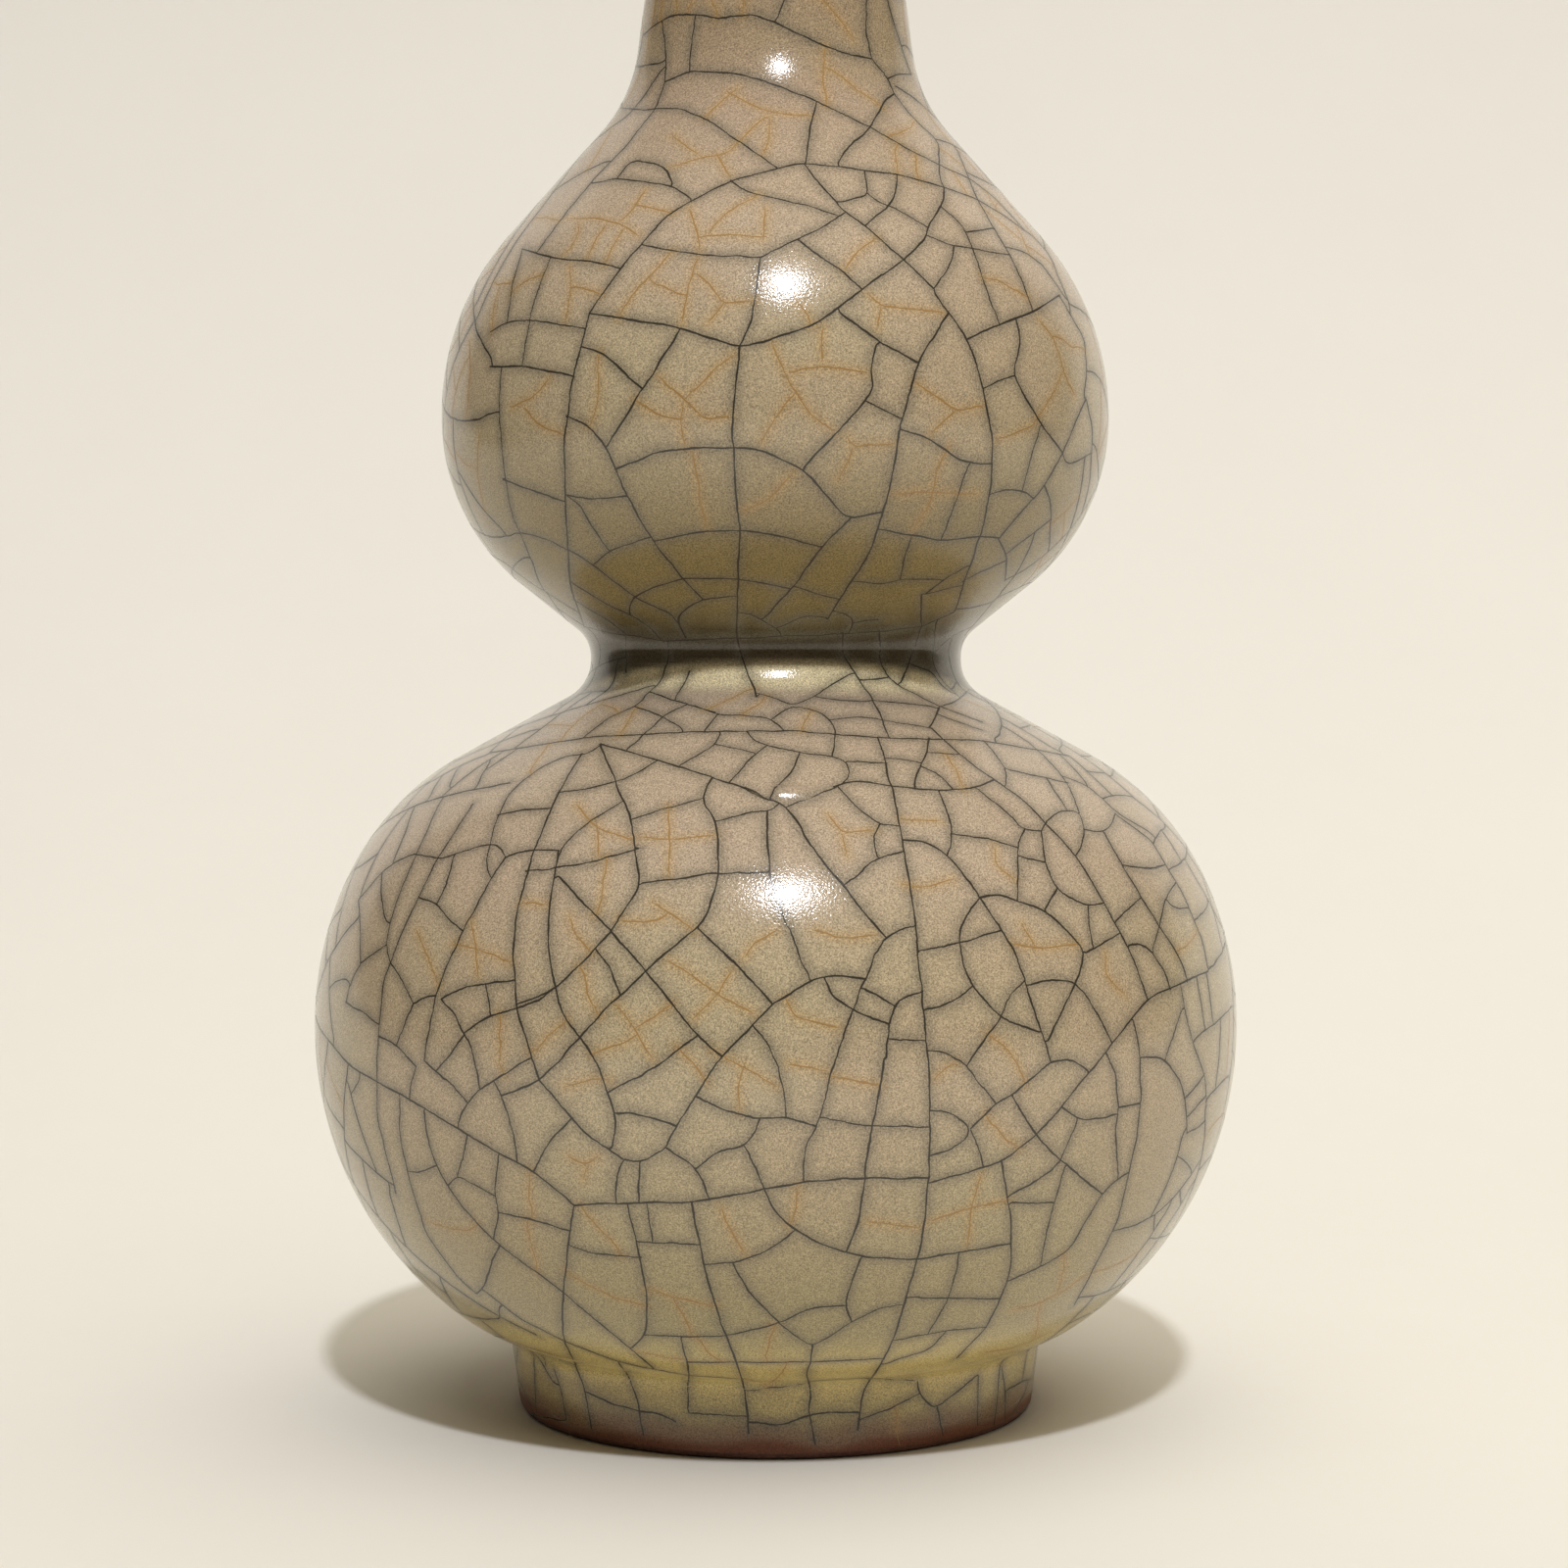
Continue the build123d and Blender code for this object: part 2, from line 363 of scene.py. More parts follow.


# %% [markdown]
# ## The main cracks of the front
#
# The longest cracks that the photograph shows, listed one by one. Each is written as a few pixels, x,y.

# %% Name the main cracks
MAIN_CRACKS = {
    "top arc": "898,176 819,166 745,184 681,219 633,274 602,319",
    "left rib": "602,319 584,389 576,450 577,509 582,598 596,640",
    "centre rib": "755,352 747,432 751,506 755,545 752,626 752,655 772,712",
    "right rib": "968,319 936,370 918,438 907,504 888,563 868,594 844,632",
    "far right rib": "954,300 987,346 999,379 1013,448 1011,494 1003,538 974,624",
    "upper cross": "603,320 690,333 754,354 790,346 832,331 878,296 900,280",
    "upper spur": "694,336 656,397 619,456",
    "upper loop": "594,354 612,358 635,377 656,397",
    "left diagonal": "578,424 597,432 619,456 640,506 666,551 696,590 717,611",
    "middle arc": "630,478 673,461 722,456 775,458 820,479 865,530 892,524",
    "right spur": "822,475 857,437 883,409 892,396 888,376 894,352",
    "under arc": "669,552 712,543 755,540 806,549 837,558",
    "low arc": "647,610 663,600 699,590 751,590 804,600",
    "low left": "579,560 605,576 648,610 689,628 700,651",
    "right top": "857,319 891,345 936,370",
    "right middle": "918,438 947,447 968,463 988,473 1012,473",
    "right low": "896,540 930,546 963,552 999,547 1020,549",
    "right edge": "1108,407 1084,462 1066,496 1052,511 1021,547",
    "edge top": "987,346 1036,325 1055,318 1081,301",
    "edge zigzag": "1036,325 1042,346 1033,382 1062,432 1084,462",
    "shoulder girdle": "500,768 602,751 717,745 801,744 906,752 1003,755 1090,771",
    "shoulder right": "950,742 990,779 1044,816 1097,872 1120,910 1156,977 1171,1020",
    "shoulder left": "612,758 627,796 643,830 653,901 625,950 565,1011 529,1024",
    "shoulder slope": "612,758 673,775 727,793 783,812 804,825 839,878 898,950",
    "shoulder low": "850,803 870,796 911,802 957,807 995,804 1013,796",
    "belly wave": "727,793 714,815 731,838 734,873 732,899 720,937 659,991",
    "belly wave end": "659,991 624,1024 590,1060 551,1103 511,1118",
    "belly diagonal": "570,894 624,950 659,991 710,1055 737,1078",
    "belly short diagonal": "712,947 755,988 788,1024",
    "belly level": "656,901 684,897 722,892 783,890",
    "belly stub": "783,827 782,853 786,896",
    "belly rise": "712,1115 737,1077 788,1025 827,1000 852,994 883,999",
    "left middle": "594,768 571,807 546,864 527,932 524,970 528,1032 551,1103",
    "left middle end": "551,1103 598,1157 636,1183",
    "left second": "570,868 560,932 559,965 572,1032 608,1080 629,1139 625,1170",
    "left long": "483,820 447,876 414,942 391,1004 385,1075 385,1139 404,1218",
    "left slope": "330,1055 356,1087 384,1103 432,1130 509,1177 545,1195 586,1230",
    "left under arc": "433,1133 437,1165 448,1195 469,1228 504,1266 573,1317 667,1396",
    "girdle": "586,1230 640,1227 706,1227 780,1214 821,1205 882,1202 948,1202",
    "girdle right": "951,1206 1002,1192 1025,1183 1057,1159 1084,1128 1171,1019 1233,991",
    "foot rib left": "586,1230 582,1256 575,1315 574,1366 586,1389 598,1420 604,1458",
    "foot rib middle": "706,1228 721,1304 736,1350 744,1371 759,1409 764,1463",
    "short rib": "640,1227 653,1283 660,1322 660,1361 645,1375",
    "low girdle": "660,1362 698,1364 741,1363 795,1350 828,1334 862,1332",
    "hanging arc": "780,1214 790,1236 808,1253 839,1270 880,1283 936,1285 1031,1269",
    "inner rib": "902,1080 897,1118 890,1150 882,1202 877,1243 864,1276",
    "right long": "911,805 920,854 932,928 939,996 947,1080 949,1131 948,1200",
    "right long end": "948,1200 943,1246 936,1286 911,1368 897,1396 880,1418 875,1460",
    "right under": "1022,1187 1032,1250 1031,1297 1020,1325 1007,1354 976,1386",
    "far right": "1163,1080 1164,1118 1160,1156 1152,1195 1140,1246 1124,1279 1096,1332",
    "right hook": "1152,1196 1141,1201 1124,1219 1092,1274 1063,1292 1029,1307",
    "right crossing": "1033,1119 1057,1159 1081,1183 1124,1218",
    "right outer": "1126,849 1146,885 1164,915 1182,944 1202,974 1212,1002",
    "right arc": "921,857 944,859 967,872 1000,915 1036,972 1062,1053 1072,1083",
    "right loop": "1000,916 1018,912 1064,928 1090,951 1108,971 1097,1004 1069,1062",
    "right round": "1000,916 983,936 978,954 981,977 990,1005 1019,1038 1060,1053",
    "ledge left": "494,1317 530,1345 574,1368 632,1390 698,1403 754,1407",
    "ledge middle": "702,1390 820,1390 902,1386",
}

# %% [markdown]
# ## The lesser cracks of the front
#
# Between the longest cracks lie the shorter ones that close the cells, picked the same way, region by region.

# %% Name the lesser cracks
LESSER_CRACKS = {
    "neck": [
        "656,36 670,24 686,15 712,15 737,19 763,14 788,22 826,40 862,55 889,60", "762,13 765,0",
        "676,22 680,59 679,82 670,110 640,148 605,184 574,222 550,255", "710,16 705,46 704,73",
        "680,83 704,73 747,74 781,83 832,103 888,130 926,152 956,167",
        "956,167 989,182 1014,201 1040,229", "633,110 650,113 668,111 694,111 722,122 750,142 791,170",
        "833,104 826,135 822,166", "912,96 902,103 888,130 878,140 861,153 855,167",
        "884,0 883,31 889,60 906,80 912,96 930,119 957,144 959,183 963,191", "906,80 918,75 930,76",
    ],
    "upper bulb, top": [
        "820,167 837,189 861,215 883,231 922,265 953,295",
        "862,217 839,232 809,246 776,263 712,260 656,250", "745,184 760,195 783,201 821,209 852,219",
        "815,245 834,260 860,277 879,295", "705,203 689,191 663,186 630,182 605,187",
        "630,182 643,164 666,166 679,171 685,184", "643,164 644,155 639,149",
        "753,356 765,334 770,309 776,263", "882,174 883,187 887,199 859,206",
        "887,199 896,207 908,210 928,221 946,232", "915,179 915,193 908,210 883,230",
        "898,176 914,178 963,191 996,203 1026,221 1055,242 1071,260 1085,295", "900,281 922,265",
        "963,191 963,203 959,212 946,234 942,246 923,264",
        "945,240 963,248 973,251 991,253 1008,257 1030,260",
        "960,211 975,223 986,237 992,253 1000,276 1008,301 1019,329", "986,237 1012,233",
        "983,168 989,184 998,205 1014,233 1030,260 1042,284 1053,315", "973,251 972,264 963,282 953,294",
        "1030,253 1046,257 1065,272 1081,295",
    ],
    "upper bulb, left": [
        "533,254 546,258 564,263 607,267 633,274", "562,263 547,301 541,326 536,352 533,374",
        "533,255 523,291 518,329", "500,339 518,329 541,326 566,330 596,335", "500,374 533,374 582,383",
        "512,375 510,400 510,432 515,483 522,524 538,560 548,588", "578,505 602,510 640,506",
        "513,489 546,501 577,512", "533,544 556,549 579,561", "606,576 622,562 664,548",
        "579,506 592,514 602,534 622,562", "717,612 750,608", "717,612 699,621 690,630 699,649",
    ],
    "upper bulb, right": [
        "1004,396 1032,384", "1061,435 1053,463 1043,500", "1011,504 1024,500 1043,500 1055,509",
        "988,475 978,504 960,551", "930,547 922,570 918,591", "870,593 896,596 918,591 945,591",
        "944,606 963,591 986,578", "982,593 1006,581 1027,572", "945,606 978,598",
        "1018,549 1028,568 1025,593", "1028,564 1071,531", "1067,499 1073,517 1071,555",
        "1084,462 1088,476 1112,463", "1081,302 1106,345 1109,376 1106,405", "1108,407 1115,438 1113,476",
        "940,606 940,639", "941,639 973,625", "885,410 917,426", "867,530 839,557 810,597 792,617",
        "810,598 832,605 855,611", "853,624 866,627 872,634 865,647", "872,635 896,632",
    ],
    "waist": [
        "584,595 622,618 643,627 663,639 674,652", "643,627 642,616 648,609", "584,611 622,634 638,646",
        "615,644 643,648 679,654 755,651 832,648 900,644 941,639", "752,625 770,627 783,636",
        "804,636 821,628 843,630", "682,655 682,672 676,695 650,720 620,733 600,748", "639,650 639,687",
        "704,685 696,705 689,715", "666,708 689,715 730,727", "773,709 793,713 809,720 834,710 857,695",
        "842,713 870,716 896,715 944,720", "860,645 860,668 869,683 881,701 896,724 907,751",
        "897,645 898,676 905,691 919,702 957,720", "939,641 929,673 919,697",
        "955,635 951,676 960,694 980,713", "929,678 952,686 957,695", "881,695 905,692",
        "957,722 980,713 988,704",
    ],
    "shoulder": [
        "709,720 732,729 768,730 788,733 800,744", "732,729 719,744",
        "791,731 801,724 811,720 832,725 847,734 853,745 849,770", "847,734 878,731 901,734 948,742",
        "958,722 955,732 948,742", "957,729 1003,745", "962,722 1003,737",
        "640,763 663,743 676,731 699,720", "648,721 676,731 689,738", "694,780 717,766 730,758 735,747",
        "730,758 750,762 770,767", "747,795 770,768 783,759", "763,746 768,754 783,759 816,766 850,771",
        "816,767 809,786 786,811", "850,771 865,777 868,792 855,803 826,814 804,823", "865,776 905,778",
        "855,803 870,820 896,840 918,843", "896,752 904,773 905,793 910,803", "904,773 924,774 939,778",
        "948,752 946,767 939,780 933,793 933,801", "939,781 957,790 972,805", "946,767 972,769",
        "1003,755 1016,770 1027,785 1026,798", "1028,785 1067,794 1090,799", "1069,796 1087,824",
        "1049,757 1069,775 1090,801 1101,829", "1087,793 1108,801 1125,815 1139,829 1166,845",
        "1125,815 1138,810 1156,813", "510,832 517,813 531,799 555,781 577,771 602,768 613,759",
        "569,809 599,805 626,798 650,789 671,775", "508,832 533,826 561,825",
        "635,818 615,830 589,848 573,865 567,886", "645,836 679,825 713,816",
        "731,838 758,831 773,827 786,828 795,820",
    ],
    "lower bulb, middle": [
        "860,904 878,891 896,875 921,869", "897,842 891,857 895,874",
        "786,896 800,937 809,957 816,978 827,1001", "842,1000 852,1018 870,1031 888,1038 907,1045",
        "933,945 914,950 902,958 891,979 882,1000 870,1031 857,1067 847,1097",
        "847,1097 838,1137 830,1154 821,1169 820,1205", "882,1009 897,1017 912,1026",
        "941,1012 924,1017 912,1027 907,1045 904,1080", "907,1060 945,1062",
        "770,1049 783,1064 793,1087 800,1116 802,1140", "711,1119 744,1135 775,1141 802,1140 829,1148",
        "837,1140 890,1149 948,1150", "775,1142 769,1159 759,1169 734,1174 711,1192",
        "760,1170 771,1192 780,1213", "680,1171 711,1192 724,1223", "637,1183 630,1197 628,1213 629,1226",
        "653,1186 652,1226", "712,1115 690,1149 680,1171 665,1181 653,1186 637,1183",
        "629,1136 649,1137 669,1141 690,1149", "625,1112 661,1094 692,1071 713,1056",
        "609,970 623,988 632,1012",
    ],
    "lower bulb, left": [
        "446,825 436,848 425,871 407,914 398,942 394,965 399,983",
        "366,918 389,891 407,877 425,871 448,877 478,867 500,861 511,863 516,875",
        "516,875 524,871 544,867 571,868", "509,831 500,861 496,886 502,896",
        "516,875 502,896 486,925 473,950 459,978 445,1016 436,1062 433,1082",
        "428,916 446,922 456,936 473,950", "463,875 456,902 446,922", "536,889 566,886 603,880 652,866",
        "450,1020 463,1011 483,1006 525,1000", "496,1006 499,1024 501,1037",
        "473,1055 486,1044 504,1036 527,1029 544,1023 564,1010",
        "450,1019 465,1037 474,1055 483,1075 487,1095 490,1111", "474,1056 463,1071 445,1093",
        "541,1080 521,1092 504,1103 490,1112 476,1126 468,1146", "504,1103 513,1121 524,1154 528,1185",
        "545,1195 557,1170 580,1145", "467,1199 474,1177 477,1159", "509,1178 505,1220 509,1238 504,1264",
        "459,1208 467,1199 483,1209 505,1220", "416,1195 430,1196 446,1189",
        "408,1118 408,1159 418,1203 424,1225 435,1259 466,1302 486,1320", "425,1089 419,1106 418,1122",
        "399,983 409,996 421,1022", "425,1023 435,1016 445,1016", "422,1024 414,1042 405,1066",
        "386,1057 405,1066 425,1089", "433,1082 445,1093 463,1108 477,1125", "368,983 393,965",
        "368,984 358,1001 353,1024", "366,918 368,950 368,983", "509,1237 548,1246 582,1256",
        "582,1271 604,1279 655,1283", "651,1267 713,1270", "660,1228 666,1267",
        "508,1275 498,1297 495,1315 486,1320",
    ],
    "lower bulb, right": [
        "958,808 966,826 971,846 970,864 966,873", "972,851 993,854 1013,857 1038,865",
        "997,805 1016,820 1031,833 1045,847 1062,848", "1045,847 1039,859 1038,874 1039,894 1038,915",
        "1038,873 1067,880", "1068,838 1062,848 1064,866 1069,889 1078,906 1092,917 1108,924 1124,922",
        "1068,838 1080,828 1092,827 1101,828 1106,846 1104,864 1097,873",
        "1105,846 1124,850 1133,845 1138,830", "1078,908 1066,928", "1110,925 1111,945 1115,967",
        "1108,972 1124,963 1141,953", "1138,940 1164,916", "1051,1005 1069,1000 1087,999 1097,1004",
        "1097,1004 1110,1019 1123,1041 1133,1061", "1020,1040 1029,1017 1046,1000",
        "1020,1040 1003,1063 986,1088", "947,1072 962,1073 975,1079 986,1088 1003,1109 1016,1126",
        "938,970 957,967 978,963 1022,949", "944,1030 965,1026 980,1017 992,1006",
        "949,1133 967,1134 980,1141 990,1153 985,1162 972,1172 949,1179", "990,1153 999,1170 1003,1190",
        "990,1152 1016,1126 1034,1116 1072,1084", "1072,1084 1087,1081 1100,1084 1110,1093",
        "1156,1041 1161,1060 1163,1080", "1128,1073 1138,1096 1141,1132 1138,1157 1141,1198",
        "1083,1129 1099,1143 1120,1141 1138,1137", "1099,1143 1092,1162 1081,1185", "1141,1130 1161,1126",
        "1165,1079 1179,1078 1189,1082 1205,1105 1210,1127 1211,1157", "1189,1081 1197,1055 1206,1030",
        "1205,1009 1210,1037 1220,1073 1230,1101 1231,1129",
        "1151,965 1161,962 1174,970 1187,989 1194,1010", "1176,968 1183,945 1189,915 1198,903",
        "1141,833 1174,857 1207,912 1228,963 1233,991",
    ],
    "lower bulb, underside": [
        "1031,1219 1063,1202 1081,1185", "1086,1192 1076,1225 1066,1264 1062,1289", "1032,1227 1075,1227",
        "978,1281 974,1304 966,1327 947,1361", "924,1324 969,1325 1021,1325",
        "878,1284 868,1310 862,1332 869,1348", "795,1350 828,1374 851,1361 869,1349 895,1335 919,1331",
        "910,1368 964,1358 1007,1354", "964,1360 948,1377 902,1392",
        "720,1290 749,1288 777,1279 798,1266 810,1256", "748,1289 759,1312 777,1332 795,1349",
        "695,1366 703,1396 702,1437",
    ],
    "foot": [
        "829,1375 827,1389 822,1399 827,1419 826,1445 832,1474",
        "762,1419 820,1412 829,1409 886,1406 936,1409",
        "936,1409 938,1422 946,1433 956,1436 974,1422 997,1403", "878,1448 908,1437 938,1422",
        "956,1436 962,1465", "998,1404 997,1455", "1022,1394 1026,1424 1025,1448",
        "764,1451 798,1455 827,1443 876,1441", "632,1391 647,1414 653,1442 657,1465",
        "597,1420 624,1432 652,1440 672,1442 690,1451", "703,1442 762,1445", "565,1396 573,1419 578,1447",
        "545,1384 546,1412",
    ],
}

# %% [markdown]
# ## Lay the cracks of the front
#
# Straight pieces between the pixels are rounded off by a moving average, then laid on the wall. An end that
# stops just short of another crack grows on until it joins it.

# %% Lay and join
SOFTEN = 7
JOINT = 4.0
CLOSE = 0.9
TIGHT = 0.15
FRONT = 1.0
SEEN_HEIGHT = 192.0


def rounded(text, spacing):
    """Points at an even spacing along straight pieces between x,y pixels, with the corners rounded off."""
    pixels = np.array([pair.split(",") for pair in text.split()], dtype=float)
    gone = np.concatenate([[0], np.cumsum(np.hypot(*np.diff(pixels, axis=0).T))])
    stops = np.linspace(0, gone[-1], round(gone[-1] / spacing))
    dense = np.array([np.interp(stops, gone, column) for column in pixels.T])
    dense = np.pad(dense, ((0, 0), (SOFTEN // 2, SOFTEN // 2)), mode="reflect", reflect_type="odd")
    soft = np.array([np.convolve(column, np.ones(SOFTEN) / SOFTEN, mode="valid") for column in dense])
    return soft.T


def close_ends(limit, side=0.0):
    """Grow open crack ends on by up to limit mm, and keep what reaches another crack.

    Ends that the photograph shows, within an angle of side, stay open.
    """
    for number, (path, strength) in enumerate(cracks[:]):
        back = min(3, len(path) - 1)
        for (angle, along), (before, below) in ((path[0], path[back]), (path[-1], path[-1 - back])):
            if abs(angle) < side and height_list[level_of(along)] < SEEN_HEIGHT:
                continue
            near = nearest(angle, along, {number})
            if near and near[0] < CLOSE:
                if near[0] > TIGHT:
                    keep([(angle, along), near[1:3]], strength)
                continue
            heading = math.atan2((angle - before) * radius_list[level_of(along)], along - below)
            joint = grow(angle, along, heading, bend=0.0, limit=limit, crossing=0.0, own={number})
            if joint and touches(*joint[-1], {number}):
                keep([(angle, along)] + joint, strength)


for pixels in MAIN_CRACKS.values():
    keep(from_photo(rounded(pixels, spacing=3.5)), dice.uniform(0.85, 1.1))
for region in LESSER_CRACKS.values():
    for pixels in region:
        path = from_photo(rounded(pixels, spacing=2.4))
        if len(path) > SOFTEN:
            keep(path, dice.uniform(0.5, 1.0))
close_ends(JOINT)
photo_count = len(cracks)
print(photo_count, "cracks from the photograph")

# %% [markdown]
# ## The long cracks of the sides and back
#
# On the rest of the vase the first cracks to open are long too. Each starts where there is most room and
# runs over a bulb, across some of the others, until one stops it.

# %% Open the long cracks
LONG_CRACKS = 46
for _ in range(LONG_CRACKS):
    k = int(np.argmax(clearance * np.array([dice.uniform(0.6, 1) for _ in range(TESTS)])))
    heading = dice.uniform(-math.pi, math.pi)
    bend = dice.gauss(0, 0.01)
    limit = dice.uniform(30, 70)
    path = grow_both_ways(test_angle[k], test_along[k], heading, bend, limit, crossing=0.5)
    keep(path, dice.uniform(0.85, 1.1))
print(len(cracks) - photo_count, "long cracks")

# %% [markdown]
# ## Cells
#
# As the glaze goes on shrinking, each cell splits while it is too large for the strain in it. The new crack
# starts in the middle of the cell and takes the short way across, nearly straight or in a round bend. A crack
# that would run close beside an old one is tried again another way. Long thin cells are split as well. How
# large a cell may stay depends on the place: larger on the bulbs, smaller round the waist and the foot. The
# part that the photograph shows has its own cracks already, so cells there may stay four times as wide.

# %% Split the cells
HALF = SECTORS // 2
NARROW = 1.3
FAIR = math.sin(math.radians(55))
WAVES = 24
SAMPLED = 2500


def patchy(place, size, seed):
    """A smooth random field over the glaze, around 0, that changes over about size mm."""
    waves = np.random.default_rng(seed)
    total = np.zeros(len(place))
    for _ in range(WAVES):
        direction = waves.normal(size=3)
        total += np.sin(place @ direction / size + waves.uniform(0, math.tau))
    return total / math.sqrt(WAVES / 2)


def meets_square(path):
    """Whether both ends of a new crack meet older ones at a fair angle."""
    for (angle, along), (before, below) in ((path[0], path[3]), (path[-1], path[-4])):
        heading = math.atan2((angle - before) * radius_list[level_of(along)], along - below)
        near = nearest(angle, along)
        if near and abs(math.sin(heading - near[4])) < FAIR:
            return False
    return True


def split(angle, along, strength, wander, round_share, crossing, limit):
    """Split the cell round a point the short way across, and say whether that worked."""
    reach = look_round(angle, along)
    longest = int(np.argmax(reach[:HALF] + reach[HALF:]))
    turn = (longest + 0.5) * math.tau / SECTORS
    shift = 0.35 * (reach[longest] - reach[longest + HALF])
    along = min(max(along + shift * math.cos(turn), 0.1), HIGH - 0.1)
    angle += shift * math.sin(turn) / radius_list[level_of(along)]
    reach = look_round(angle, along)
    across = reach[:HALF] + reach[HALF:]
    for tries in range(5):
        doubt = np.array([dice.uniform(0.85, 1.15 + 0.3 * tries) for _ in range(HALF)])
        heading = (int(np.argmin(across * doubt)) + dice.uniform(0.2, 0.8)) * math.tau / SECTORS
        bend = dice.gauss(0, wander)
        if dice.random() < round_share:
            bend = dice.choice((-1, 1)) * dice.uniform(0.03, 0.07)
        path = grow_both_ways(angle, along, heading, bend, limit, crossing)
        gaps = [nearest(*point) for point in path[4:-4]]
        beside = sum(1 for gap in gaps if gap and gap[0] < NARROW)
        if len(path) > 5 and beside < 0.2 * len(path) and (meets_square(path) or tries == 4):
            keep(path, strength * dice.uniform(0.75, 1.2), 3 * wander)
            return True
    return False


def split_cells(allowed, strength, wander, round_share, crossing, slender, limit):
    """Split the roomiest cell until none is larger than allowed, then the long thin ones."""
    while True:
        k = int(np.argmax(clearance / allowed))
        if clearance[k] < allowed[k]:
            break
        if not split(test_angle[k], test_along[k], strength, wander, round_share, crossing, limit):
            clearance[k] = 0.0
    for k in dice.sample(range(TESTS), SAMPLED):
        if clearance[k] > 0.3 * allowed[k]:
            reach = look_round(test_angle[k], test_along[k])
            across = reach[:HALF] + reach[HALF:]
            if across.max() > slender * across.min() and across.max() > 2.2 * allowed[k]:
                split(test_angle[k], test_along[k], strength, wander, round_share, crossing, limit)


CELL_HEIGHTS = [0, 8, 20, 55, 85, 98, 107, 114, 125, 145, 175, 200, 216]
CELL_RADII = [2.8, 3.0, 3.7, 4.2, 3.5, 2.6, 2.6, 3.2, 4.6, 5.2, 4.6, 4.2, 3.6]
cell = np.interp(test_place[:, 2], CELL_HEIGHTS, CELL_RADII)
cell *= np.exp(0.2 * patchy(test_place, size=7.0, seed=3))
seen_in_photo = (np.abs(test_angle) < FRONT) & (test_place[:, 2] < SEEN_HEIGHT)
cell *= np.where(seen_in_photo, 4.0, 1.0)
split_cells(cell, strength=0.8, wander=0.02, round_share=0.2, crossing=0.05, slender=2.6, limit=40.0)
close_ends(limit=25.0, side=FRONT)
dark_count = len(cracks)
print(dark_count, "dark cracks")

# %% [markdown]
# ## Golden threads
#
# The fine cracks open days later inside the finished cells. The ones that show best in the photograph are
# listed, as the dark ones are.

# %% Pick the golden threads
PICKED_THREADS = {
    "upper bulb": [
        "788,351 805,390 827,423 851,440", "812,401 792,425 777,451", "805,380 834,373 884,380",
        "840,334 838,349 839,369", "749,362 727,379 698,408", "672,384 694,403 720,428 744,425",
        "698,408 694,430 699,454", "648,408 675,425 698,428", "712,264 701,297 696,330",
        "711,279 727,293 738,310 772,306", "738,310 722,330", "707,460 711,489 716,519 722,539",
        "810,482 779,514 757,521", "934,391 960,408 975,419 1003,414", "975,419 958,434 949,443",
        "864,445 870,456 912,453", "870,456 866,471 855,489", "912,504 945,502 997,504",
        "969,454 956,478 949,515 931,541", "886,301 899,312 962,319", "899,312 895,334",
        "895,242 875,256 862,275", "703,212 712,238 714,256", "714,242 742,239 779,242",
        "781,212 779,244", "579,223 609,223 631,227 651,240", "620,227 605,249 600,264",
        "592,225 587,249 575,260", "659,194 642,219 631,227", "646,208 672,214 688,218",
        "686,170 712,162 742,157 775,123 786,118", "731,157 744,179", "753,90 727,112 720,120",
        "686,138 705,153 712,157", "742,94 772,110 794,116 827,118", "786,120 784,145 779,157",
        "581,271 583,297 577,327", "522,416 546,404 561,386", "535,416 550,434 575,443",
        "1086,375 1075,401 1053,436 1016,449", "1060,327 1075,345 1086,382 1097,404",
    ],
    "lower bulb": [
        "682,980 708,996 732,1015 769,1034", "746,991 732,1015 708,1039", "628,1024 647,1048 666,1081",
        "682,821 684,854 682,892", "654,854 684,857 729,852", "588,821 609,845 647,857",
        "609,840 611,873", "845,831 859,850 892,847", "859,850 864,873", "666,921 689,935 708,949",
        "727,1072 779,1100 793,1109", "760,1086 753,1109 755,1133", "805,1086 845,1093",
        "847,1098 897,1107", "802,1020 812,1039 854,1048", "576,1109 609,1100 623,1102",
        "581,1180 599,1190 609,1180", "599,1190 595,1204", "920,836 958,838",
        "1015,864 1016,883 1034,897", "1034,963 1067,968 1100,963", "1043,944 1057,968",
        "1128,972 1128,996 1147,1015", "954,1100 968,1086 977,1086", "1001,1199 991,1232 987,1270",
        "949,1246 991,1232 1029,1225", "814,1211 812,1237 805,1251", "885,1246 939,1253",
        "736,1232 746,1256 760,1279", "481,939 486,968 488,996", "462,963 486,968 522,982",
        "581,935 590,958 604,972", "533,921 557,923", "425,949 439,982 448,1006",
        "793,949 769,963 760,977", "831,949 859,958 892,954", "920,902 944,906 972,897",
        "689,1067 708,1086 722,1105",
    ],
}
for region in PICKED_THREADS.values():
    for pixels in region:
        keep(from_photo(rounded(pixels, spacing=2.4)), dice.uniform(0.6, 1.1))

# %% [markdown]
# ## The other threads
#
# The rest go through the same steps as the dark cells, with smaller cells, and some patches keep few of them.
# They are short, so many of them end inside a cell.

# %% Add the golden threads
THREAD_HEIGHTS = [0, 90, 102, 104, 118, 122, 216]
THREAD_RADII = [3.3, 3.1, 2.6, 9.0, 9.0, 3.1, 2.7]
thread_cell = np.interp(test_place[:, 2], THREAD_HEIGHTS, THREAD_RADII)
thread_cell *= np.exp(0.3 * patchy(test_place, size=9.0, seed=5))
thread_cell *= np.where(seen_in_photo, 1.35, 1.0)
split_cells(thread_cell, strength=0.8, wander=0.04, round_share=0.3, crossing=0.0, slender=9.0, limit=6.0)
gold_count = len(cracks) - dark_count
print(gold_count, "golden threads")

# %% [markdown]
# ## Crack lines as ribbons
#
# A crack shows as a thin line in the surface. Each one becomes a ribbon that lies on the glaze, a few
# hundredths of a millimetre proud, with a width that varies along its length as a real stain does.

# %% Make the ribbons


